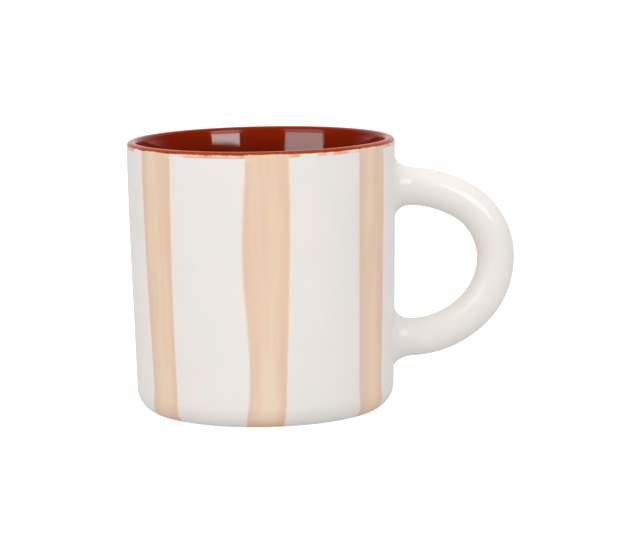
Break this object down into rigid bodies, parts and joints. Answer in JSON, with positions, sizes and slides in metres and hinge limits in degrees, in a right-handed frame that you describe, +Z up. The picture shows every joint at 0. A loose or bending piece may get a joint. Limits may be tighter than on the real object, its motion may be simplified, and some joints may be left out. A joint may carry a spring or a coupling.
{
  "type": "ceramic mug",
  "caption": "Straight-sided stoneware mug with a rounded base corner and a round-section loop handle, rust-glazed inside, white outside with painted vertical bands.",
  "frame": {"origin": "centre of the foot ring on the cup's axis, at the height of the surface that the mug stands on", "axes": "+Z up along the cup's axis; +X from the cup's axis through the handle; the handle lies in the plane y = 0"},
  "size_m": [0.1226, 0.085, 0.0863],
  "materials": {
    "stoneware_clay": "bare fired clay, matte, fine sandy grain",
    "joining_slip": "fired slip, matte, smoothed by finger",
    "rust_glaze": "high gloss, deep rust red",
    "orange_rim_glaze": "gloss, orange where the coat breaks thin over the lip",
    "white_glaze": "satin gloss, warm white with faint mottling",
    "peach_stripe": "satin gloss, brushed peach, softer at its edges"
  },
  "bodies": {
    "root": {"cup_body": "stoneware_clay", "handle": "stoneware_clay", "upper_slip_joint": "joining_slip", "lower_slip_joint": "joining_slip", "inner_glaze": "rust_glaze", "rim_glaze": "orange_rim_glaze", "wall_glaze": "white_glaze", "handle_glaze": "white_glaze", "base_glaze": "white_glaze", "stripe_1": "peach_stripe", "stripe_2": "peach_stripe", "stripe_3": "peach_stripe", "stripe_4": "peach_stripe", "stripe_5": "peach_stripe", "stripe_6": "peach_stripe", "stripe_7": "peach_stripe"}
  },
  "joints": []
}
